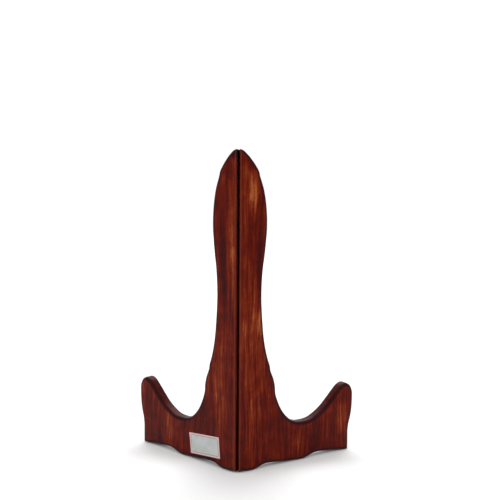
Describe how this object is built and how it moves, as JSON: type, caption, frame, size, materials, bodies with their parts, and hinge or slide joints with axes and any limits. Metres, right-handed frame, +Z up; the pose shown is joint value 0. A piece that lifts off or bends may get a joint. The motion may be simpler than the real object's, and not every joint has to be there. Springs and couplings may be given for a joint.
{
  "type": "folding plate display stand",
  "caption": "Folding plate stand: two hinged wooden boards stand as an open V, with tall masts behind a plate and saddles with lips that hold its rim.",
  "frame": {"origin": "on the floor, under the middle of the stand's bounding box", "axes": "+Z up; -Y is the back, where the spine is; the wings open towards +Y, where the plate stands; +X is to the right seen from behind"},
  "size_m": [0.1788, 0.0748, 0.25],
  "materials": {
    "rosewood": "satin varnish over dark red-brown wood with a vertical grain",
    "brass": "lightly aged",
    "label_paper": "matt paper with a thin printed border and no text"
  },
  "bodies": {
    "left_wing": {"left_board": "rosewood", "paper_label": "label_paper", "upper_hinge_left_leaf": "brass", "lower_hinge_left_leaf": "brass", "upper_hinge_pin": "brass", "lower_hinge_pin": "brass", "upper_hinge_left_screw_1": "brass", "upper_hinge_left_screw_2": "brass", "upper_hinge_left_screw_3": "brass", "lower_hinge_left_screw_1": "brass", "lower_hinge_left_screw_2": "brass", "lower_hinge_left_screw_3": "brass"},
    "right_wing": {"right_board": "rosewood", "upper_hinge_right_leaf": "brass", "lower_hinge_right_leaf": "brass", "upper_hinge_right_screw_1": "brass", "upper_hinge_right_screw_2": "brass", "upper_hinge_right_screw_3": "brass", "lower_hinge_right_screw_1": "brass", "lower_hinge_right_screw_2": "brass", "lower_hinge_right_screw_3": "brass"}
  },
  "joints": [
    {"name": "fold", "type": "hinge", "parent": "left_wing", "child": "right_wing", "pos_m": [0, -0.02364, 0], "axis": [0, 0, 1], "range_deg": [0, 105]}
  ]
}
